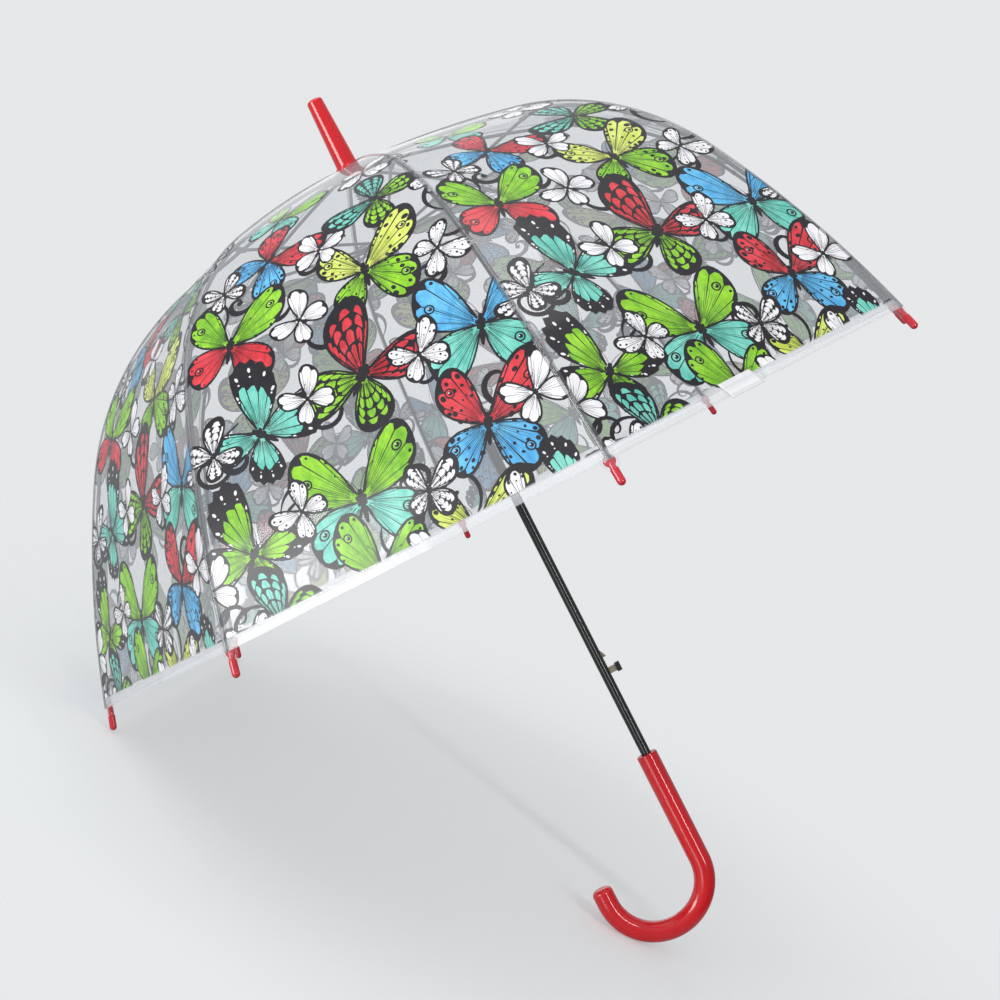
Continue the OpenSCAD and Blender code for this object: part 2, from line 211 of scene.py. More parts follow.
def grown(name, tree, values, material):
    """A plain mesh object that a geometry tree makes with the given sizes."""
    carrier = bpy.data.objects.new(name + "_carrier", bpy.data.meshes.new(name + "_carrier"))
    bpy.context.collection.objects.link(carrier)
    modifier = carrier.modifiers.new("Grow", "NODES")
    modifier.node_group = tree
    for item in tree.interface.items_tree:
        if item.in_out == "INPUT":
            value = material if item.name == "Material" else values[item.name]
            modifier[item.identifier] = value
    carrier.update_tag()
    evaluated = carrier.evaluated_get(bpy.context.evaluated_depsgraph_get())
    mesh = bpy.data.meshes.new_from_object(evaluated)
    bpy.data.objects.remove(carrier)
    mesh.name = name
    mesh.materials.clear()
    mesh.materials.append(material)
    mesh.polygons.foreach_set("material_index", [0] * len(mesh.polygons))
    return placed(name, mesh)


def placed(name, mesh):
    piece = bpy.data.objects.new(name, mesh)
    bpy.context.collection.objects.link(piece)
    return piece


def mesh_piece(name, points, faces, materials, inks=None, smooth=True):
    mesh = bpy.data.meshes.new(name)
    mesh.from_pydata([tuple(p) for p in points], [], faces)
    for material in materials:
        mesh.materials.append(material)
    if inks:
        mesh.polygons.foreach_set("material_index", inks)
    mesh.polygons.foreach_set("use_smooth", [smooth] * len(mesh.polygons))
    mesh.update()
    return placed(name, mesh)


# ---------------------------------------------------------------- materials

def new_material(name):
    material = bpy.data.materials.new(name)
    material.use_nodes = True
    material.node_tree.nodes.clear()
    return material, Maker(material.node_tree)


def output(maker, shader):
    maker.node("ShaderNodeOutputMaterial", {}, {"Surface": shader})


def noise(maker, scale, detail=3.0, stretch=(1, 1, 1), rough=0.5):
    """Cloudy variation from 0 to 1 over the object, drawn out along an axis by stretch."""
    place = maker.node("ShaderNodeTexCoord", out=3)
    place = maker.node("ShaderNodeMapping", {}, {"Vector": place, "Scale": stretch})
    return maker.node(
        "ShaderNodeTexNoise", {}, {"Vector": place, "Scale": scale, "Detail": detail, "Roughness": rough}
    )


def ramp(maker, value, low, high, dark, light):
    stops = [(low, (*dark, 1)), (high, (*light, 1))]
    return maker.node("ShaderNodeValToRGB", {"stops": stops}, {"Fac": value})


def bump(maker, height, strength, distance):
    return maker.node(
        "ShaderNodeBump", {}, {"Height": height, "Strength": strength, "Distance": distance}
    )


def moulded(name, dark, light, gloss=0.16, coat=0.5, grain=0.04):
    """Moulded plastic: faint flow marks in its colour, cloudy gloss and hairline scuffs."""
    material, maker = new_material(name)
    flow = noise(maker, 30, 4, (1, 1, 0.25))
    scuffs = noise(maker, 420, 2, (1, 1, 0.06), 0.7)
    cloud = noise(maker, 90, 3)
    surface = maker.node("ShaderNodeBsdfPrincipled", {}, {
        "Base Color": ramp(maker, flow, 0.3, 0.7, dark, light),
        "Roughness": gloss + cloud * 0.10 + (scuffs ** 6.0) * 0.25,
        "Coat Weight": coat,
        "Coat Roughness": 0.05,
        "IOR": 1.5,
        "Normal": bump(maker, cloud * 0.6 + scuffs * 0.4, grain, 0.3 * MM),
    })
    output(maker, surface)
    return material


def painted(name, dark, light, gloss, metal=0.0, peel=0.08, peel_scale=900):
    """Painted or plated steel: orange peel in the paint, rubbed patches along its length."""
    material, maker = new_material(name)
    peel_marks = noise(maker, peel_scale, 2)
    rubbed = noise(maker, 55, 5, (1, 1, 0.2), 0.65)
    surface = maker.node("ShaderNodeBsdfPrincipled", {}, {
        "Base Color": ramp(maker, rubbed, 0.35, 0.75, dark, light),
        "Roughness": gloss + rubbed * 0.14,
        "Metallic": metal,
        "Coat Weight": 0.3 if metal < 0.5 else 0.0,
        "Normal": bump(maker, peel_marks, peel, 0.1 * MM),
    })
    output(maker, surface)
    return material


def clear_film(name, veil, edge, gloss, tint=(0.90, 0.93, 0.96), ripple=0.35):
    """Clear vinyl: a milky veil that thickens at a glance, strong gloss, and soft ripples."""
    material, maker = new_material(name)
    haze = noise(maker, 9, 4, (1, 1, 0.4), 0.6)
    waves = noise(maker, 16, 2, (1, 1, 0.35), 0.4)
    dimples = noise(maker, 60, 2)
    glance = maker.node("ShaderNodeLayerWeight", {}, {"Blend": 0.35}, out=1)
    surface = maker.node("ShaderNodeBsdfPrincipled", {}, {
        "Base Color": ramp(maker, haze, 0.3, 0.7, tint, [min(1.0, c * 1.10) for c in tint]),
        "Roughness": gloss + haze * 0.05,
        "IOR": 2.1,
        "Alpha": maker.least(veil * (0.75 + haze * 0.5) + (glance ** 2.0) * edge, 0.92),
        "Normal": bump(maker, waves + dimples * 0.08, ripple, 3 * MM),
    })
    output(maker, surface)
    return material


def screen_ink(name, dark, light, cover=0.98):
    """Screen-printed ink on film: brushed streaks of two tones, thin in places, under a soft gloss."""
    material, maker = new_material(name)
    streaks = noise(maker, 120, 5, (1, 1, 0.5), 0.7)
    patches = noise(maker, 35, 3)
    tone = streaks * 0.65 + patches * 0.35
    surface = maker.node("ShaderNodeBsdfPrincipled", {}, {
        "Base Color": ramp(maker, tone, 0.38, 0.62, dark, light),
        "Roughness": 0.22 + patches * 0.18,
        "Coat Weight": 0.3,
        "Coat Roughness": 0.06,
        "IOR": 1.40,
        "Alpha": cover - patches * 0.06,
        "Normal": bump(maker, streaks, 0.08, 0.1 * MM),
    })
    output(maker, surface)
    return material


RED_DARK, RED_LIGHT = (0.56, 0.001, 0.006), (0.68, 0.003, 0.010)
red_plastic = moulded("red_moulding", RED_DARK, RED_LIGHT, 0.08, 0.5, 0.006)
tip_plastic = moulded("tip_moulding", (0.50, 0.006, 0.018), (0.64, 0.014, 0.030), 0.14, 0.7)
black_plastic = moulded("black_moulding", (0.006, 0.006, 0.008), (0.013, 0.013, 0.015), 0.28, 0.2, 0.10)
shaft_paint = painted(
    "shaft_enamel", (0.003, 0.003, 0.004), (0.006, 0.006, 0.007), 0.12, peel=0.05, peel_scale=70,
)
rib_paint = painted("rib_enamel", (0.003, 0.003, 0.004), (0.010, 0.010, 0.012), 0.30)
bright_steel = painted("bright_wire", (0.36, 0.36, 0.38), (0.60, 0.60, 0.62), 0.22, 1.0, 0.03)
lever_steel = painted("lever_plate", (0.30, 0.27, 0.20), (0.44, 0.40, 0.32), 0.34, 0.6, 0.05)
spring_steel = painted("spring_wire", (0.22, 0.22, 0.24), (0.46, 0.46, 0.48), 0.26, 1.0, 0.03)
film_vinyl = clear_film("clear_vinyl", 0.27, 0.36, 0.05, (0.66, 0.68, 0.71))
seam_vinyl = clear_film("welded_vinyl", 0.06, 0.14, 0.10, (0.66, 0.68, 0.71), ripple=0.5)
rib_vinyl = clear_film("vinyl_on_rib", 0.42, 0.20, 0.12, (0.10, 0.105, 0.12), ripple=0.4)
hem_vinyl = clear_film("hem_vinyl", 0.18, 0.20, 0.24, (0.88, 0.89, 0.91))
# The tab's near-white tint and thick veil are its doubled clear film, whitened further as a painted
# reflection of a lamp's glare.
tab_vinyl_with_painted_glare = clear_film("tab_vinyl_with_painted_glare", 0.62, 0.20, 0.16, (0.95, 0.96, 0.98))

INKS = {
    "lime": screen_ink("ink_lime", (0.13, 0.40, 0.008), (0.34, 0.72, 0.02)),
    "aqua": screen_ink("ink_aqua", (0.08, 0.47, 0.38), (0.24, 0.72, 0.60)),
    "red": screen_ink("ink_red", (0.52, 0.012, 0.022), (0.80, 0.05, 0.07)),
    "blue": screen_ink("ink_blue", (0.03, 0.28, 0.62), (0.14, 0.56, 0.88)),
    "pale": screen_ink("ink_pale", (0.50, 0.62, 0.05), (0.76, 0.84, 0.20)),
    "white": screen_ink("ink_white", (0.74, 0.73, 0.76), (0.93, 0.92, 0.94)),
    "black": screen_ink("ink_black", (0.004, 0.003, 0.006), (0.010, 0.008, 0.014), 1.04),
}
INK_NAMES = list(INKS)


# ---------------------------------------------------------------- the artwork of one gore

def on_print(x, y):
    return PRINT_START < y < PRINT_END and abs(x) < half_width(y * MM) / MM


class Artwork:
    """Flat shapes on one gore, in millimetres: x across from its middle, y down from the crown.
    What is added later lies over what was there."""

    def __init__(self):
        self.loops = []
        self.inks = []

    def add(self, loop, ink):
        if not any(on_print(x, y) for x, y in loop):
            return
        area = sum(a[0] * b[1] - b[0] * a[1] for a, b in zip(loop, loop[1:] + loop[:1]))
        self.loops.append(loop if area > 0 else loop[::-1])
        self.inks.append(ink)

    def oval(self, at, along, across, angle, ink, points=12):
        """An oval with half lengths along and across, its long way turned by angle."""
        c, s = math.cos(angle), math.sin(angle)
        loop = []
        for i in range(points):
            a = 2 * math.pi * i / points
            u, v = along * math.cos(a), across * math.sin(a)
            loop.append((at[0] + u * c - v * s, at[1] + u * s + v * c))
        self.add(loop, ink)

    def stroke(self, line, widths, ink):
        """A tapering stroke along a line of points."""
        left, right = [], []
        for i, (x, y) in enumerate(line):
            ax, ay = line[max(i - 1, 0)]
            bx, by = line[min(i + 1, len(line) - 1)]
            run = math.hypot(bx - ax, by - ay) or 1.0
            nx, ny = (ay - by) / run * widths[i] / 2, (bx - ax) / run * widths[i] / 2
            left.append((x + nx, y + ny))
            right.append((x - nx, y - ny))
        self.add(left + right[::-1], ink)


FULLNESS = 1.32                # how much wider than drawn every wing spreads
RIM_WIDTH = 1.5                # the black line round a wing, in millimetres
SCROLL_SIZE = 1.2              # how much larger than drawn every scroll is
SCROLL_WEIGHT = 2.1            # and how much heavier its line is


class Wing:
    """A wing's outline in polar form about its root: s runs from -1 to 1 across its spread."""

    def __init__(self, root, tip, spread, skew=0.0, scallops=0, square=2.9):
        self.root = root
        self.length = math.hypot(tip[0] - root[0], tip[1] - root[1])
        self.aim = math.atan2(tip[1] - root[1], tip[0] - root[0])
        self.spread = math.radians(spread) * FULLNESS
        self.skew = skew
        self.scallops = scallops
        self.square = square

    def reach(self, s):
        """Distance from root to rim, as a share of the wing's length."""
        rim = (1 - abs(s) ** self.square) ** 0.5 * (1 + self.skew * s)
        if self.scallops:
            rim *= 1 + 0.035 * math.cos(2 * math.pi * self.scallops * (s + 1) / 2)
        return rim

    def at(self, s, share):
        """The point at s, at a share of the way to the rim."""
        a = self.aim + s * self.spread
        r = self.reach(s) * share * self.length
        return (self.root[0] + r * math.cos(a), self.root[1] + r * math.sin(a))

    def outline(self, share=1.0, points=24):
        ends = [math.sin(math.pi / 2 * (2 * i / points - 1)) * 0.998 for i in range(points + 1)]
        return [self.at(s, share) for s in ends]

    def cell(self, low, high, inner, outer, points=4):
        """One panel between two veins, with a rounded outer end."""
        across = [i / points for i in range(points + 1)]
        far = [self.at(low + (high - low) * u, outer * (1 - 0.10 * abs(2 * u - 1) ** 2.5)) for u in across]
        near = [self.at(low + (high - low) * u, inner) for u in (1, 0)]
        return far + near


def hatch(art, wing, low, high, inner, outer, count, rng, ink="black"):
    """Fine strokes that run out from the root within one panel."""
    for i in range(count):
        s = low + (high - low) * (i + 0.5 + rng.uniform(-0.2, 0.2)) / count
        start = inner + rng.uniform(0.0, 0.10)
        stop = start + (outer - start) * rng.uniform(0.45, 0.85)
        line = [wing.at(s, start), wing.at(s, (start + stop) / 2), wing.at(s, stop)]
        art.stroke(line, [0.42, 0.34, 0.06], ink)


def eye_spot(art, wing, s, share, size, ink):
    at = wing.at(s, share)
    art.oval(at, size, size * 0.86, wing.aim, "black", 14)
    art.oval(at, size * 0.70, size * 0.58, wing.aim, ink)
    art.oval((at[0] + size * 0.12, at[1]), size * 0.44, size * 0.38, wing.aim, "black", 10)
    art.oval((at[0] - size * 0.08, at[1] - size * 0.16), size * 0.13, size * 0.13, 0, "white", 6)


def draw_wing(art, wing, ink, style, rng):
    """One wing: a black ground, inked panels between its veins, then its marks."""
    rim = {"plain": 0.95, "pale": 0.945, "spotted": 0.93, "bordered": 0.72, "netted": 0.90}[style]
    art.add(wing.outline(), "black")
    small = wing.length < 32
    panels = 4 if small else 6
    vein = 0.016 if style in ("plain", "pale") else 0.024
    bounds = [0.95 * math.sin(math.pi / 2 * (2 * i / panels - 1) * 0.9) for i in range(panels + 1)]
    for low, high in zip(bounds, bounds[1:]):
        low, high = low + vein, high - vein
        middle = (low + high) / 2
        reach = rim * (1 + rng.uniform(-0.10, 0.04) if style == "bordered" else 1)
        if style == "netted":
            breaks = [0.10, 0.42, 0.62, 0.78, reach]
            for near, far in zip(breaks, breaks[1:]):
                art.add(wing.cell(low + vein, high - vein, near + 0.018, far - 0.018), ink)
        else:
            art.add(wing.cell(low, high, 0.09, reach), ink)
        strokes = 2 if small else 3
        hatch(art, wing, low, high, 0.10, reach, strokes, rng)
        if style == "spotted":
            for share in (0.50, 0.68, 0.84):
                if rng.random() < 0.8:
                    size = wing.length * rng.uniform(0.028, 0.052) * share
                    place = wing.at(middle + rng.uniform(-0.3, 0.3) * (high - low), share)
                    art.oval(place, size * 1.3, size, wing.aim + rng.uniform(-0.5, 0.5), "black", 8)
        if style == "bordered":
            size = wing.length * 0.026
            art.oval(wing.at(middle, 0.87), size * 1.4, size * 0.8, wing.aim + middle, "white", 8)
            if rng.random() < 0.5:
                art.oval(wing.at(middle, 0.78), size * 0.6, size * 0.5, 0, "white", 6)
        if style == "plain" and rng.random() < 0.45:
            size = wing.length * rng.uniform(0.016, 0.026)
            art.oval(wing.at(middle, 0.89), size * 1.2, size, wing.aim, "black", 7)
    rim_line = wing.outline(0.985)
    art.stroke(rim_line, [RIM_WIDTH] * len(rim_line), "black")


def butterfly(art, root, size, lean, pair, rng):
    """One butterfly with forewings of the given length, whose head points along lean."""
    fore_ink, hind_ink, style = pair
    far_side = rng.choice((-1, 1))
    foreshortening = rng.uniform(0.76, 0.97)
    scallops = 7 if style == "bordered" else 0
    # Each pair of wings: its angle from the head, share of the size, spread, skew and ink.
    pairs = ((128, 0.84, 29, 0.14, hind_ink), (54, 1.0, 25, -0.30, fore_ink))
    for turn, share, spread, skew, ink in pairs:
        for side in (-1, 1):
            reach = size * share * (foreshortening if side == far_side else 1.0)
            aim = lean + side * math.radians(turn + rng.uniform(-7, 7))
            tip = (root[0] + reach * math.cos(aim), root[1] + reach * math.sin(aim))
            wing = Wing(root, tip, spread, side * skew, scallops)
            draw_wing(art, wing, ink, style, rng)
            if style in ("plain", "spotted") and ink != "white":
                eye_spot(art, wing, side * rng.uniform(-0.25, 0.05), 0.74, size * 0.075, ink)
    body = size / BODY_SIZE
    hx, hy = math.cos(lean), math.sin(lean)
    for along, length, width in BODY_OVALS:
        at = (root[0] + hx * along * body, root[1] + hy * along * body)
        art.oval(at, length * body, width * body, lean, "black")
    for side in (-1, 1):
        feeler = []
        for i in range(len(FEELER_WIDTHS)):
            far = (6 + 3.4 * i) * body
            a = lean + side * (0.10 + 0.075 * i)
            feeler.append((root[0] + far * math.cos(a), root[1] + far * math.sin(a)))
        art.stroke(feeler, FEELER_WIDTHS, "black")
        art.oval(feeler[-1], 0.95 * body, 0.6 * body, lean, "black", 7)


def scroll(art, at, size, angle, turn, weight=1.0):
    """A pen scroll: a long tail that winds into a small curl, with a leaf-shaped swelling."""
    line, widths = [], []
    size *= SCROLL_SIZE
    weight *= SCROLL_WEIGHT
    steps, winding = 25, 7.2
    for i in range(steps + 1):
        share = i / steps
        a = angle + turn * share ** 1.5 * winding
        r = size * (1 - share) ** 1.25 + size * 0.07
        line.append((at[0] + r * math.cos(a), at[1] + r * math.sin(a)))
        widths.append(weight * (0.35 + 1.5 * math.sin(math.pi * share) ** 2))
    art.stroke(line, widths, "black")
    art.oval(line[-1], 1.0 * weight, 0.9 * weight, 0, "black", 8)


BODY_SIZE = 56.0               # the forewing length, in millimetres, of a butterfly with a full-sized body
# Abdomen, thorax and head: place along the body, half length and half width.
BODY_OVALS = ((-6.5, 9.0, 1.9), (0.8, 5.2, 2.9), (6.2, 1.9, 1.7))
FEELER_WIDTHS = (0.5, 0.42, 0.36, 0.34, 0.34, 0.4, 0.5)
# Inks of the forewings and hindwings, with the style of both.
BRIGHT_PAIRS = (
    ("lime", "aqua", "plain"), ("red", "blue", "spotted"), ("aqua", "lime", "netted"),
    ("lime", "red", "plain"), ("pale", "lime", "spotted"), ("aqua", "aqua", "bordered"),
    ("red", "lime", "netted"), ("blue", "aqua", "plain"), ("lime", "lime", "bordered"),
)
WHITE_PAIRS = (("white", "white", "pale"), ("white", "white", "spotted"), ("white", "white", "netted"))
# Rows down the gore, in millimetres: length from the crown, butterflies in the row, forewing length.
PRINT_ROWS = ((212, 1, 40), (276, 2, 47), (352, 2, 61), (430, 3, 58), (508, 3, 62), (576, 4, 50))


def gore_artwork():
    """Rows of bright butterflies down one gore, with scrolls and small white ones in the gaps."""
    rng = random.Random(11)
    art = Artwork()
    up = -math.pi / 2
    bright, gaps = [], []
    for number, (y, count, size) in enumerate(PRINT_ROWS):
        width = half_width(y * MM) / MM
        shift = 0.16 if number % 2 else -0.16
        for j in range(count):
            x = width * (2 * (j + 0.5 + shift) / count - 1) + rng.uniform(-5, 5)
            bright.append((x, y + rng.uniform(-8, 8), size * rng.uniform(0.93, 1.08)))
        for j in range(count + 1):
            x = width * (2 * (j + shift) / count - 1) * 0.94
            gaps.append((x + rng.uniform(-6, 6), y + rng.uniform(-10, 24)))
    for x, y in gaps:
        for turn in (-1, 1):
            at = (x + rng.uniform(-24, 24), y + rng.uniform(-22, 22))
            scroll(art, at, rng.uniform(14, 24), rng.uniform(0, 2 * math.pi), turn, rng.uniform(0.8, 1.4))
    for number, (x, y, size) in enumerate(bright):
        lean = up + rng.uniform(-1.0, 1.0)
        butterfly(art, (x, y), size, lean, BRIGHT_PAIRS[number % len(BRIGHT_PAIRS)], rng)
    for number, (x, y) in enumerate(gaps):
        lean = up + rng.uniform(-1.6, 1.6)
        butterfly(art, (x, y), rng.uniform(24, 31), lean, WHITE_PAIRS[number % len(WHITE_PAIRS)], rng)
    return art


# ---------------------------------------------------------------- the film and its print

def film_length(row):
    return FILM_START + (FILM_LENGTH - FILM_START) * row / FILM_ROWS


def gore_point(gore, x, length, rise=0.0):
    """A point on gore number gore, x across from its middle, at a length from the crown."""
    radius, height, slope = dome_point(length, DOME, Numbers)
    middle = RIB_TURN + (gore - 1) * STEP + HALF
    out = Vector((math.cos(middle), math.sin(middle), 0))
    across = Vector((-math.sin(middle), math.cos(middle), 0))
    normal = (out * math.sin(slope) + Vector((0, 0, math.cos(slope) * math.cos(HALF)))).normalized()
    return out * radius * math.cos(HALF) + across * x + Vector((0, 0, height)) + normal * rise


def half_width(length):
    return dome_point(length, DOME, Numbers)[0] * math.sin(HALF)


def side_of(rib, side):
    """The number of the gore beside a rib: side 1 is anticlockwise of it, side -1 clockwise."""
    return rib if side > 0 else (rib - 2) % RIBS + 1


def fold_with_film(piece, rib):
    """Bakes the piece's placement into its mesh."""
    angle = RIB_TURN + (rib - 1) * STEP
    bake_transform(piece)


def half_gore_tree():
    """The film from a rib to the middle of its gore: a grid bent over the dome."""
    inputs = {name: "NodeSocketFloat" for name in DOME}
    inputs.update({
        "First length": "NodeSocketFloat", "Last length": "NodeSocketFloat",
        "Rib angle": "NodeSocketFloat", "Half angle": "NodeSocketFloat", "Side": "NodeSocketFloat",
        "Rows": "NodeSocketInt", "Columns": "NodeSocketInt",
    })
    maker, size, end = geometry_tree("half_gore", inputs)
    grid = maker.node("GeometryNodeMeshGrid", {}, {
        "Size X": 1.0, "Size Y": 1.0, "Vertices X": size["Columns"] + 1, "Vertices Y": size["Rows"] + 1,
    })
    place = maker.node("GeometryNodeInputPosition")
    split = {"Vector": place}
    from_middle = 0.5 - maker.node("ShaderNodeSeparateXYZ", {}, split, out=0)
    down = maker.node("ShaderNodeSeparateXYZ", {}, split, out=1) + 0.5
    length = size["First length"] + (size["Last length"] - size["First length"]) * down
    radius, height, _ = dome_point(length, size, maker)
    middle = size["Rib angle"] + size["Side"] * size["Half angle"]
    chord = radius * maker.cos(size["Half angle"])
    x = radius * maker.sin(size["Half angle"]) * from_middle * size["Side"]
    moved = maker.node("ShaderNodeCombineXYZ", {}, {
        "X": chord * maker.cos(middle) + x * maker.sin(middle),
        "Y": chord * maker.sin(middle) - x * maker.cos(middle),
        "Z": height,
    })
    bent = maker.node("GeometryNodeSetPosition", {}, {"Geometry": grid, "Position": moved})
    return end(maker.node("GeometryNodeSetShadeSmooth", {}, {"Geometry": bent}))


def film_area():
    """Flat area of one half gore, summed down its length."""
    steps = 200
    run = (FILM_LENGTH - FILM_START) / steps
    return sum(half_width(FILM_START + run * (i + 0.5)) * run for i in range(steps))


def topmost(art, centres):
    """The number of the last shape that covers each centre, or -1."""
    x, y = centres[:, 0], centres[:, 1]
    top = np.full(len(centres), -1)
    for number, loop in enumerate(art.loops):
        corners = np.array(loop)
        low, high = corners.min(axis=0), corners.max(axis=0)
        near = np.nonzero((x > low[0]) & (x < high[0]) & (y > low[1]) & (y < high[1]))[0]
        if not len(near):
            continue
        inside = np.zeros(len(near), bool)
        for (ax, ay), (bx, by) in zip(corners, np.roll(corners, -1, axis=0)):
            if ay != by:
                crosses = (ay > y[near]) != (by > y[near])
                inside ^= crosses & (x[near] < ax + (y[near] - ay) * (bx - ax) / (by - ay))
        top[near[inside]] = number
    return top


def print_mesh(art):
    """The artwork cut up along the film's own grid: points, triangles and the ink of each."""
    rows = [film_length(i) / MM for i in range(FILM_ROWS + 1)]
    rows = [PRINT_START] + [y for y in rows if PRINT_START + 2 < y < PRINT_END - 2] + [PRINT_END]
    columns = 2 * FILM_COLUMNS
    points, edges, faces = [], [], []
    for y in rows:
        width = half_width(y * MM) / MM
        points += [(width * (2 * j / columns - 1), y) for j in range(columns + 1)]
    for i in range(len(rows)):
        for j in range(columns + 1):
            here = i * (columns + 1) + j
            if j < columns:
                edges.append((here, here + 1))
            if i + 1 < len(rows):
                edges.append((here, here + columns + 1))
    for loop in art.loops:
        faces.append(list(range(len(points), len(points) + len(loop))))
        points += loop
    points, _, triangles, _, _, _ = delaunay_2d_cdt([Vector(p) for p in points], edges, faces, 1, 1e-4)
    places = np.array([tuple(p) for p in points])
    centres = places[np.array(triangles)].mean(axis=1)
    kept, inks = [], []
    for triangle, (x, y), shape in zip(triangles, centres, topmost(art, centres)):
        if shape >= 0 and on_print(x, y):
            kept.append((triangle, x))
            inks.append(INK_NAMES.index(art.inks[shape]))
    return places, kept, inks


def make_print(gore, side, art_mesh):
    """The artwork's half that leaves a rib on the given side."""
    points, triangles, inks = art_mesh
    rib = gore if side > 0 else gore % RIBS + 1
    numbers, places, faces, chosen = {}, [], [], []
    for (triangle, x), ink in zip(triangles, inks):
        if (x < 0) != (side > 0):
            continue
        face = []
        for i in triangle:
            if i not in numbers:
                numbers[i] = len(places)
                places.append(gore_point(gore, points[i][0] * MM, points[i][1] * MM, PRINT_RISE))
            face.append(numbers[i])
        faces.append(face[::-1])
        chosen.append(ink)
    name = f"print_{rib}{'a' if side > 0 else 'b'}"
    piece = mesh_piece(name, places, faces, list(INKS.values()), chosen)
    fold_with_film(piece, rib)
    return piece


def band(name, gore, side, profile, material, low=0.0, high=1.0, skew=0.0):
    """A welded band across a half gore: its profile is (length, rise) round a closed section."""
    points, faces = [], []
    ring = len(profile)
    for j in range(FILM_COLUMNS + 1):
        share = low + (high - low) * j / FILM_COLUMNS
        for length, rise in profile:
            x = side * (skew * (length - FILM_LENGTH) - half_width(min(length, FILM_LENGTH)) * (1 - share))
            points.append(gore_point(gore, x, length, rise))
    for j in range(FILM_COLUMNS):
        for i in range(ring):
            a, b = j * ring + i, j * ring + (i + 1) % ring
            faces.append((a, b, b + ring, a + ring))
    faces.append(list(range(ring))[::-1])
    faces.append([FILM_COLUMNS * ring + i for i in range(ring)])
    if side < 0:
        faces = [tuple(f)[::-1] for f in faces]
    return mesh_piece(name, points, faces, [material])


def hem_profile():
    """The hem's section: film folded under, pressed flat, with two raised weld lines."""
    outside = [
        (-9.3, 0.10), (-9.0, 0.42), (-8.0, 0.42), (-4.6, 0.42), (-4.3, 0.80), (-3.7, 0.80), (-3.4, 0.42),
        (-2.4, 0.42), (-2.1, 0.80), (-1.5, 0.80), (-1.2, 0.42), (0.1, 0.36),
    ]
    inside = [(0.4, 0.0), (0.1, -0.40), (-8.8, -0.40), (-9.3, -0.15)]
    return [(FILM_LENGTH + along * MM, rise * MM) for along, rise in outside + inside]


def weld_tree():
    """Small pressed bars at even steps along a line, each turned to lie on the film."""
    inputs = {
        "Start": "NodeSocketVector", "End": "NodeSocketVector", "Turn": "NodeSocketVector",
        "Spacing": "NodeSocketFloat", "Bar": "NodeSocketVector",
    }
    maker, size, end = geometry_tree("weld_marks", inputs)
    line = maker.node("GeometryNodeCurvePrimitiveLine", {}, {"Start": size["Start"], "End": size["End"]})
    along = {"Curve": line, "Length": size["Spacing"]}
    dots = maker.node("GeometryNodeCurveToPoints", {"mode": "LENGTH"}, along)
    bar = maker.node("GeometryNodeMeshCube", {}, {"Size": size["Bar"]})
    bars = maker.node("GeometryNodeInstanceOnPoints", {}, {
        "Points": dots, "Instance": bar, "Rotation": size["Turn"],
    })
    return end(bars)


def make_film():
    tree = half_gore_tree()
    marks = weld_tree()
    art_mesh = print_mesh(gore_artwork())
    area = film_area()
    widest = half_width(FILM_LENGTH)
    for rib in range(1, RIBS + 1):
        for side, letter in ((1, "a"), (-1, "b")):
            gore = side_of(rib, side)
            angle = RIB_TURN + (rib - 1) * STEP
            values = dict(DOME, **{
                "First length": FILM_START, "Last length": FILM_LENGTH, "Rib angle": angle,
                "Half angle": HALF, "Side": float(side), "Rows": FILM_ROWS, "Columns": FILM_COLUMNS,
            })
            film = grown(f"film_{rib}{letter}", tree, values, film_vinyl)
            if side > 0:
                film.data.flip_normals()
            fold_with_film(film, rib)
            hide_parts(f"gore_{rib}{letter}")

            hem = band(f"hem_{rib}{letter}", gore, side, hem_profile(), hem_vinyl)
            fold_with_film(hem, rib)

            level = FILM_LENGTH - WELD_ROW
            near = gore_point(gore, -side * (half_width(level) - 5 * MM), level, WELD_RISE)
            far = gore_point(gore, -side * 2 * MM, level, WELD_RISE)
            slope = dome_point(level, DOME, Numbers)[2]
            marks_piece = grown(f"weld_{rib}{letter}", marks, {
                "Start": near, "End": far, "Spacing": 2.4 * MM,
                "Turn": (0.0, slope, angle + side * HALF),
                "Bar": (1.5 * MM, 0.7 * MM, 0.3 * MM),
            }, hem_vinyl)
            fold_with_film(marks_piece, rib)

            printed = make_print(gore, side, art_mesh)
            FILM_LENGTH - FILM_START


def make_seams():
    """The welded seam that runs down each rib, and the pocket that holds the rib's tip."""
    rows = 60
    section = [(-2.4, 0.30), (-2.2, 0.46), (-1.3, 0.52), (-0.6, 0.95), (0, 1.2)]
    for rib in range(1, RIBS + 1):
        points, faces = [], []
        ring = 2 * len(section) - 1
        for i in range(rows + 1):
            length = FILM_START + (FILM_LENGTH + 0.3 * MM - FILM_START) * i / rows
            width = half_width(min(length, FILM_LENGTH))
            shrink = min(1.0, width / (20 * MM) + 0.35)
            for x, rise in section:
                gore = side_of(rib, -1)
                points.append(gore_point(gore, width + x * MM * shrink, length, rise * MM * shrink))
            for x, rise in section[-2::-1]:
                points.append(gore_point(rib, -width - x * MM * shrink, length, rise * MM * shrink))
        for i in range(rows):
            for j in range(ring - 1):
                a = i * ring + j
                faces.append((a, a + ring, a + ring + 1, a + 1))
        seam = mesh_piece(f"seam_{rib}", points, faces, [rib_vinyl])
        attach(seam, f"rib_{rib}")
        make_pocket(rib)


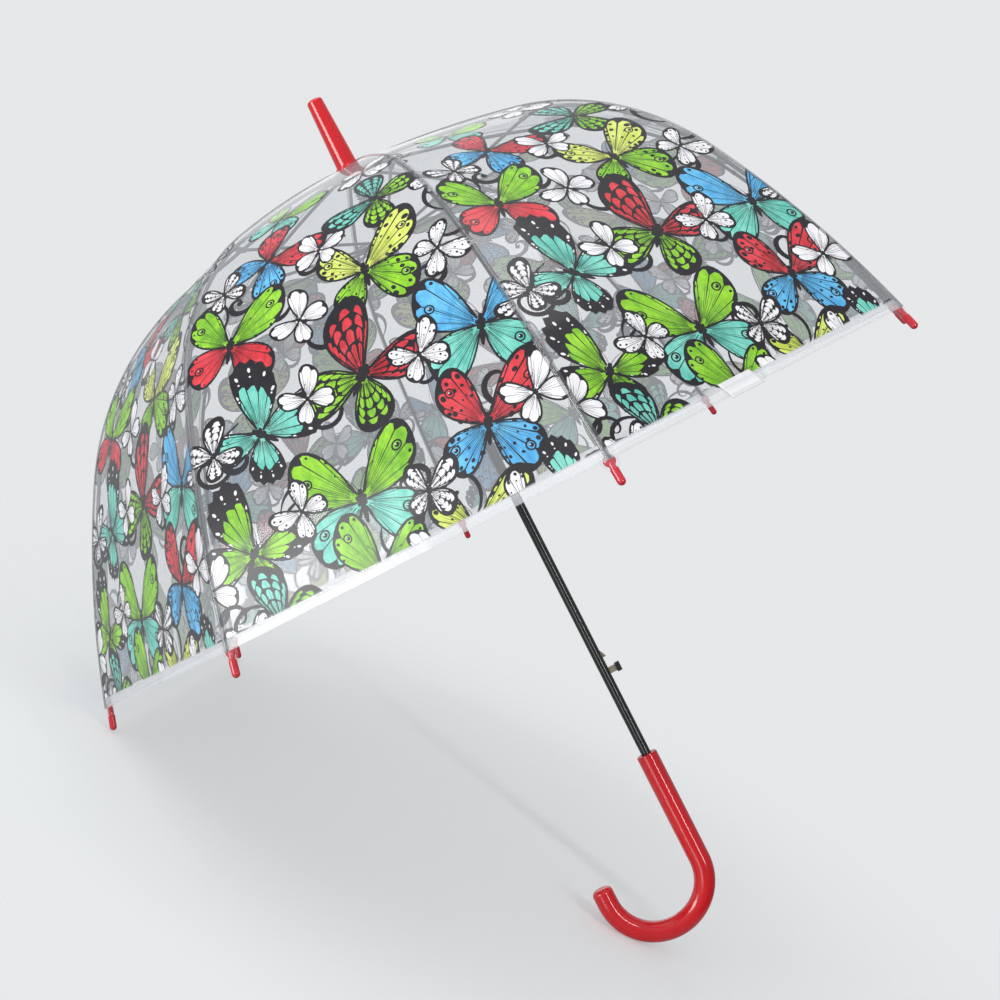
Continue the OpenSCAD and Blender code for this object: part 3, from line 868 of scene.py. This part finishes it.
def make_pocket(rib):
    """A flat sleeve of film round the tip's head, closed above it and open at the tip's neck."""
    angle = RIB_TURN + (rib - 1) * STEP
    # Along the rib from the hem, half width and half depth, in millimetres.
    stations = [
        (-15, 2.0, 0.5), (-13, 5.0, 1.6), (-9, 6.6, 3.0), (-3, 6.9, 3.6), (3, 6.2, 3.5), (6.5, 4.8, 3.3),
    ]
    points, faces = [], []
    count, inward = 24, 3.4 * MM
    turn = Matrix.Rotation(angle, 3, "Z")
    for along, wide, deep in stations:
        radius, height, slope = dome_point(FILM_LENGTH + along * MM, DOME, Numbers)
        out = Vector((math.sin(slope), 0, math.cos(slope)))
        centre = Vector((radius, 0, height)) - out * inward
        for i in range(count):
            a = 2 * math.pi * i / count
            lift = math.copysign(abs(math.sin(a)) ** 0.8, math.sin(a)) * deep * MM
            points.append(turn @ (centre + Vector((0, math.cos(a) * wide * MM, 0)) + out * lift))
    for i in range(len(stations) - 1):
        for j in range(count):
            a, b = i * count + j, i * count + (j + 1) % count
            faces.append((a, a + count, b + count, b))
    pocket = mesh_piece(f"pocket_{rib}", points, faces, [seam_vinyl])
    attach(pocket, f"rib_{rib}")


def make_strap_tab():
    """The doubled tab welded on the hem beside rib 7, skewed as the film was laid. Its whiteness comes
    partly from its doubled film and partly from a painted reflection of a lamp's glare.
    """
    profile = [
        (-11.5, 0.5), (-11.2, 1.0), (-8, 1.1), (-7.6, 1.35), (-7.0, 1.1), (-1, 1.1), (-0.6, 1.35), (0, 1.1),
        (2.4, 1.0), (2.7, 0.7), (2.4, 0.3), (0.5, 0.45), (-11.2, 0.46),
    ]
    profile = [(FILM_LENGTH + along * MM, (rise + 0.2) * MM) for along, rise in profile]
    # The tab's film carries a painted reflection of glare on top of its own doubled whiteness.
    tab = band("hem_tab", 7, 1, profile, tab_vinyl_with_painted_glare, low=0.76, high=0.97, skew=0.35)
    fold_with_film(tab, 7)
    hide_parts("strap_tab")


def make_crown():
    """The film's gathered centre: a pleated disc clamped between the notch and the ferrule."""
    low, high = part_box("film_crown")
    top = high[2]
    inner, outer = 4.62 * MM, 18.6 * MM
    flat, clamped = 14 * MM, 8 * MM
    rings, count, pleats, pleat_height = 8, 128, 32, 0.22 * MM
    points, faces = [], []
    for i in range(rings + 1):
        radius = inner + (outer - inner) * i / rings
        fall = max(0.0, radius - flat) * math.tan(CROWN_SLOPE)
        for j in range(count):
            a = 2 * math.pi * j / count
            pleat = pleat_height * math.cos(pleats * a) * max(0.0, (radius - clamped) / (outer - clamped))
            points.append((radius * math.cos(a), radius * math.sin(a), top - fall + pleat))
    for i in range(rings):
        for j in range(count):
            a, b = i * count + j, i * count + (j + 1) % count
            faces.append((a, a + count, b + count, b))
    crown = mesh_piece("crown_gather", points, faces, [seam_vinyl])
    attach(crown, "root")
    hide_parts("film_crown")


def make_spring():
    """The opening spring: a coil from the runner to the notch, closed at both ends."""
    maker, size, end = geometry_tree("coil", {
        "Coil radius": "NodeSocketFloat", "Wire radius": "NodeSocketFloat",
        "Turns": "NodeSocketFloat", "Bottom": "NodeSocketFloat", "Height": "NodeSocketFloat",
    })
    spiral = maker.node("GeometryNodeCurveSpiral", {}, {
        "Resolution": 28, "Rotations": size["Turns"], "Start Radius": size["Coil radius"],
        "End Radius": size["Coil radius"], "Height": size["Height"],
    })
    section = {"Resolution": 10, "Radius": size["Wire radius"]}
    wire = maker.node("GeometryNodeCurvePrimitiveCircle", {}, section)
    sweep = {"Curve": spiral, "Profile Curve": wire, "Fill Caps": True}
    coil = maker.node("GeometryNodeCurveToMesh", {}, sweep)
    lift = maker.node("ShaderNodeCombineXYZ", {}, {"Z": size["Bottom"]})
    coil = maker.node("GeometryNodeTransform", {}, {"Geometry": coil, "Translation": lift})
    tree = end(maker.node("GeometryNodeSetShadeSmooth", {}, {"Geometry": coil}))

    low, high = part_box("opening_spring")
    wire_r, turns = 0.5 * MM, 17.0
    spring = grown("spring_coil", tree, {
        "Coil radius": high[0] - wire_r, "Wire radius": wire_r, "Turns": turns,
        "Bottom": low[2] + wire_r, "Height": high[2] - low[2] - 2 * wire_r,
    }, spring_steel)
    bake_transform(spring)
    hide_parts("opening_spring")


# ---------------------------------------------------------------- finishes of the CAD pieces

def dress_frame():
    finishes = {
        "shaft": shaft_paint, "handle": red_plastic, "ferrule": red_plastic, "tip": tip_plastic,
        "rib": rib_paint, "stretcher": rib_paint, "runner_tube": black_plastic, "runner_hub": black_plastic,
        "top_notch": black_plastic, "button_cap": black_plastic, "film_washer": black_plastic,
        "runner_wire": bright_steel, "notch_wire": bright_steel, "runner_stop": bright_steel,
        "lever_pin": bright_steel, "release_lever": lever_steel,
    }
    for name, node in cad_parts.items():
        stem = name.rsplit("_", 1)[0] if name.rsplit("_", 1)[-1].isdigit() else name
        if stem not in finishes:
            continue
        mesh = node.data
        if not mesh.materials:
            mesh.materials.append(None)
        for slot in range(len(mesh.materials)):
            mesh.materials[slot] = finishes[stem]


# ---------------------------------------------------------------- studio

def area_light(name, at, towards, size, power, colour=(1, 1, 1)):
    lamp = bpy.data.lights.new(name, "AREA")
    lamp.shape = "RECTANGLE"
    lamp.size, lamp.size_y = size
    lamp.energy = power
    lamp.color = colour
    light = bpy.data.objects.new(name, lamp)
    light.location = at
    light.rotation_euler = (Vector(towards) - Vector(at)).to_track_quat("-Z", "Y").to_euler()
    bpy.context.collection.objects.link(light)


def make_camera():
    place = (-0.00444, -1.56360, 0.33013)
    forward = Vector((-0.00598, 0.99995, -0.00764)).normalized()
    up = Vector((0.45348, 0.00952, 0.89122))
    right = forward.cross(up).normalized()
    up = right.cross(forward)
    turn = Matrix((right, up, -forward)).transposed().to_4x4()
    data = bpy.data.cameras.new("camera")
    data.sensor_width = 36.0
    data.lens = 62.63
    data.clip_start = 0.01
    camera = bpy.data.objects.new("camera", data)
    camera.matrix_world = Matrix.Translation(place) @ turn
    bpy.context.collection.objects.link(camera)
    bpy.context.scene.camera = camera


BACKDROP = (0.79, 0.805, 0.82)
FLOOR_NORMAL = Vector((0.772, -0.179, 0.610)).normalized()


def make_studio():
    world = bpy.data.worlds.new("studio")
    bpy.context.scene.world = world
    world.use_nodes = True
    world.node_tree.nodes.clear()
    maker = Maker(world.node_tree)
    seen = maker.node("ShaderNodeLightPath")
    direction = maker.node("ShaderNodeTexCoord", out=0)
    height = maker.node("ShaderNodeSeparateXYZ", {}, {"Vector": direction}, out=2)
    room = maker.node("ShaderNodeBackground", {}, {
        "Color": (0.84, 0.86, 0.88, 1), "Strength": maker.least(maker.most(height * 0.45 + 0.5, 0.16), 0.8),
    })
    paper = maker.node("ShaderNodeBackground", {}, {"Color": (*BACKDROP, 1), "Strength": 1.0})
    both = maker.node("ShaderNodeMixShader", {}, {0: seen, 1: room, 2: paper})
    maker.node("ShaderNodeOutputWorld", {}, {"Surface": both})
    bpy.context.scene.view_settings.view_transform = "Standard"

    centre = (0, 0, 0.45)
    area_light("key_softbox", (-1.9, -1.9, 1.7), centre, (1.4, 1.0), 34)
    area_light("top_softbox", (0.7, -0.9, 2.3), centre, (2.4, 1.4), 22)
    area_light("back_softbox", (0.6, 2.2, 1.4), centre, (2.0, 1.6), 7)
    area_light("low_fill", (-1.5, -2.2, -0.3), centre, (0.9, 0.9), 9)
    area_light("right_strip", (1.2, -1.7, -0.05), (0, 0, 0.1), (0.16, 1.3), 11)

    material, maker = new_material("studio_floor")
    from_middle = maker.node("ShaderNodeTexCoord", out=3)
    far = maker.node("ShaderNodeVectorMath", {"operation": "LENGTH"}, {0: from_middle}, out=1)
    fade = maker.node("ShaderNodeMapRange", {"interpolation_type": "SMOOTHSTEP"}, {
        "Value": far, "From Min": 0.18, "From Max": 0.80, "To Min": 0.62, "To Max": 0.0,
    })
    behind = maker.node("ShaderNodeNewGeometry", out=6)
    paper = maker.node("ShaderNodeBsdfDiffuse", {}, {"Color": (0.88, 0.89, 0.90, 1)})
    clear = maker.node("ShaderNodeBsdfTransparent")
    shown = fade * (1 - behind)
    output(maker, maker.node("ShaderNodeMixShader", {}, {0: shown, 1: clear, 2: paper}))
    radius, count = 1.0, 64
    spin = FLOOR_NORMAL.to_track_quat("Z", "Y").to_matrix()
    points = [spin @ Vector((radius * math.cos(a), radius * math.sin(a), 0))
              for a in (2 * math.pi * i / count for i in range(count))]
    floor = mesh_piece("floor", points, [list(range(count))], [material], smooth=False)
    floor.location = FLOOR_POINT


def floor_point():
    """A point of the floor below the object: the lowest of the tips and the hook along its normal."""
    lowest = None
    for name in ("handle", "tip_4", "tip_5"):
        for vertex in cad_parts[name].data.vertices:
            depth = vertex.co.dot(FLOOR_NORMAL)
            lowest = depth if lowest is None else min(lowest, depth)
    centre = Vector((0, 0, 0.25))
    return centre - FLOOR_NORMAL * (centre.dot(FLOOR_NORMAL) - lowest)


FLOOR_POINT = floor_point()

make_camera()
make_studio()
dress_frame()
make_film()
make_seams()
make_strap_tab()
make_crown()
make_spring()
